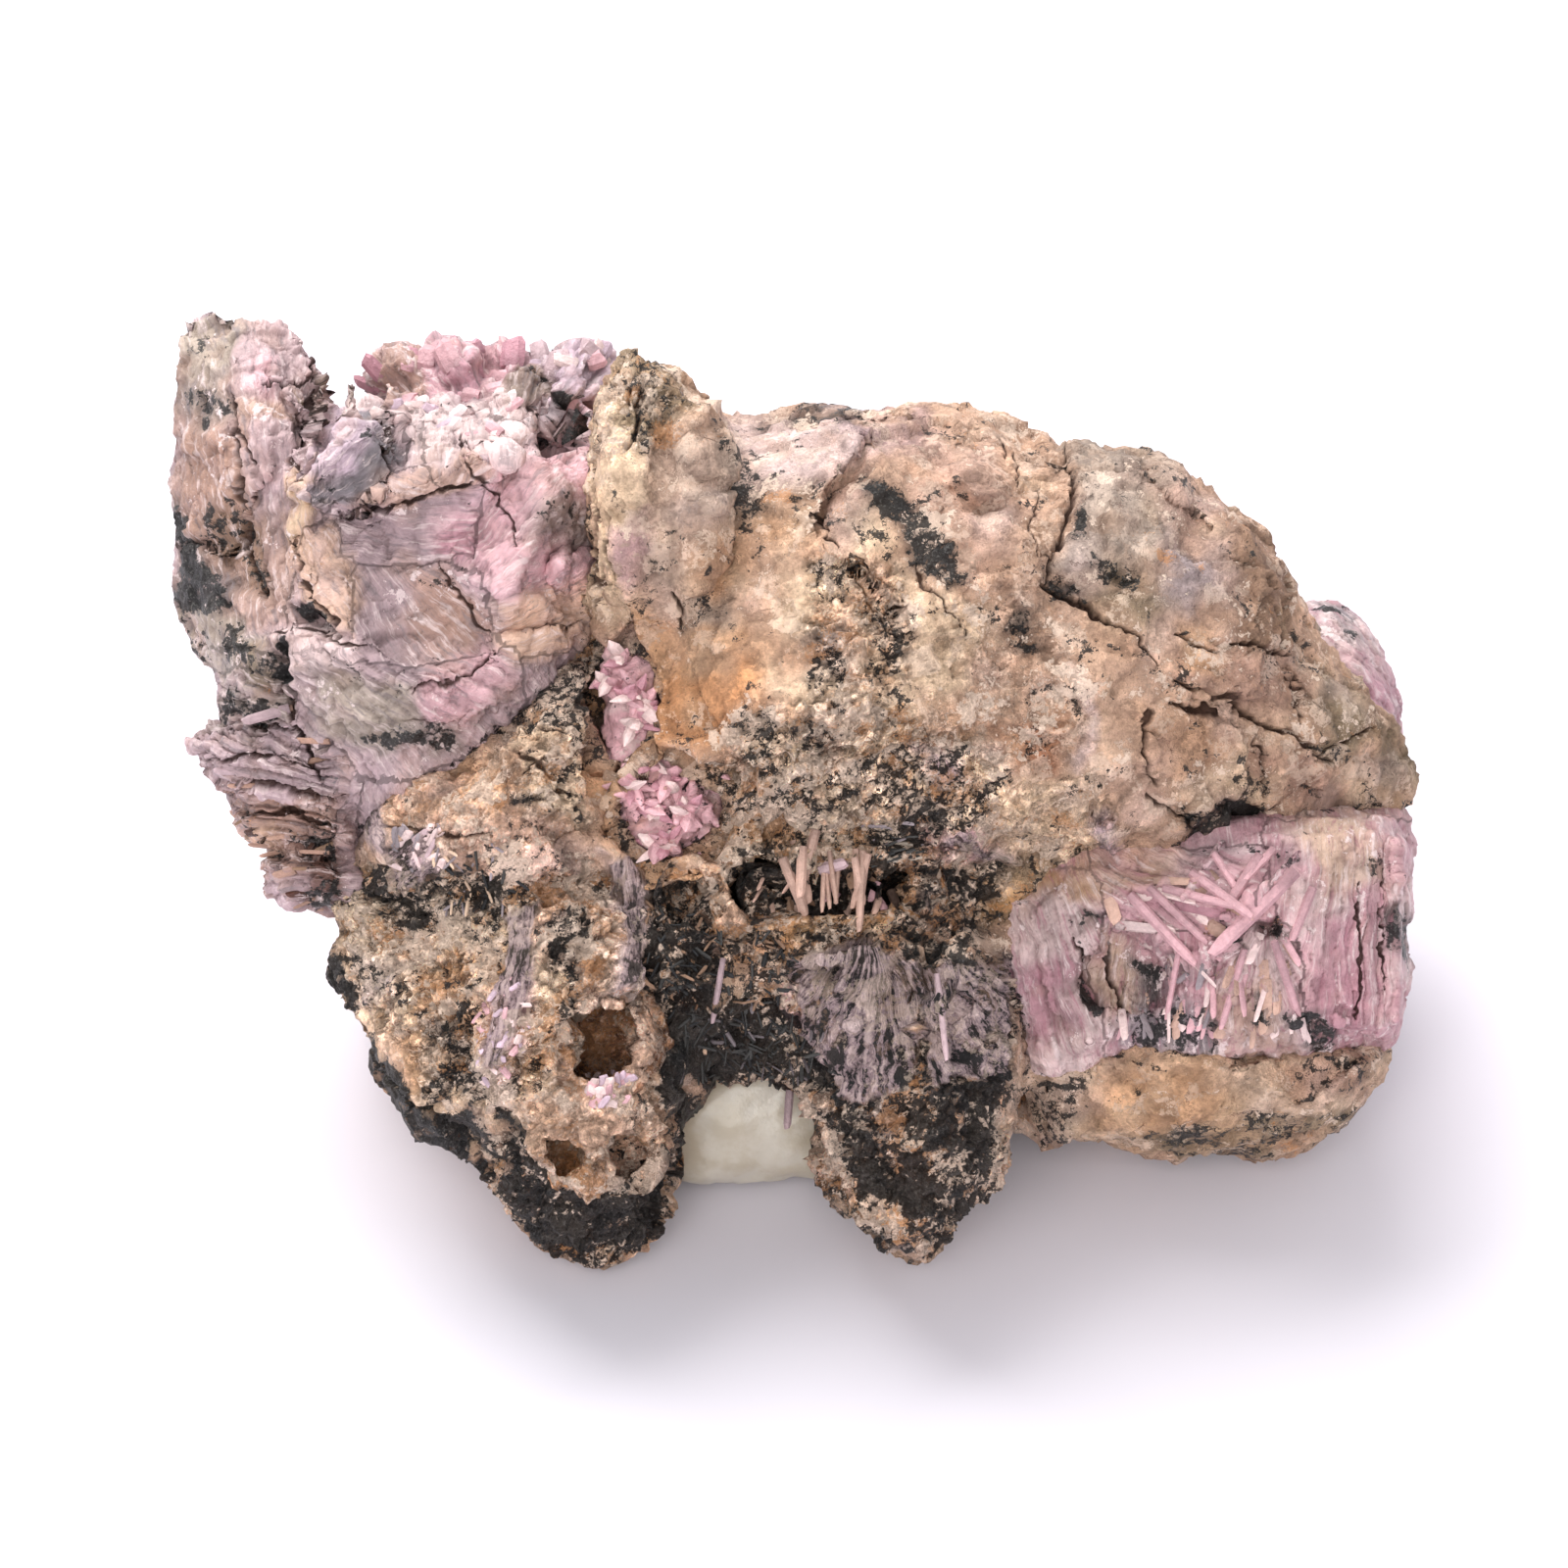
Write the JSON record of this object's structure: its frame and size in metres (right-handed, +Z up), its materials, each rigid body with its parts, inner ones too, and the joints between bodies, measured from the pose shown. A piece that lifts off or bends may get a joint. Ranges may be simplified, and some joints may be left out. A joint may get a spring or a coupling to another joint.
{
  "type": "inesite specimen",
  "caption": "Mineral specimen of inesite: a broken wedge of tan host rock with a grey-pink crystal mass, a pink bladed vein, a crystal-lined hollow and a calcite lump.",
  "frame": {"origin": "middle of the bounding box, on the surface that the specimen rests on", "axes": "+Z up, +X to the right along the specimen's length, +Y away from the eye towards the back"},
  "size_m": [0.1038, 0.0689, 0.0656],
  "materials": {
    "host_rock": "matt weathered stone, tan to ochre with black manganese stains",
    "grey_pink_inesite": "silky, cleaved grey-pink mineral",
    "pink_inesite": "silky fibrous pink mineral",
    "crystal_crust": "glassy pink crystals",
    "calcite": "cloudy, see-through at its edges"
  },
  "bodies": {
    "root": {"matrix": "host_rock", "inesite_mass": "grey_pink_inesite", "inesite_vein": "pink_inesite", "vug_crystals": "crystal_crust", "calcite": "calcite"}
  },
  "joints": []
}
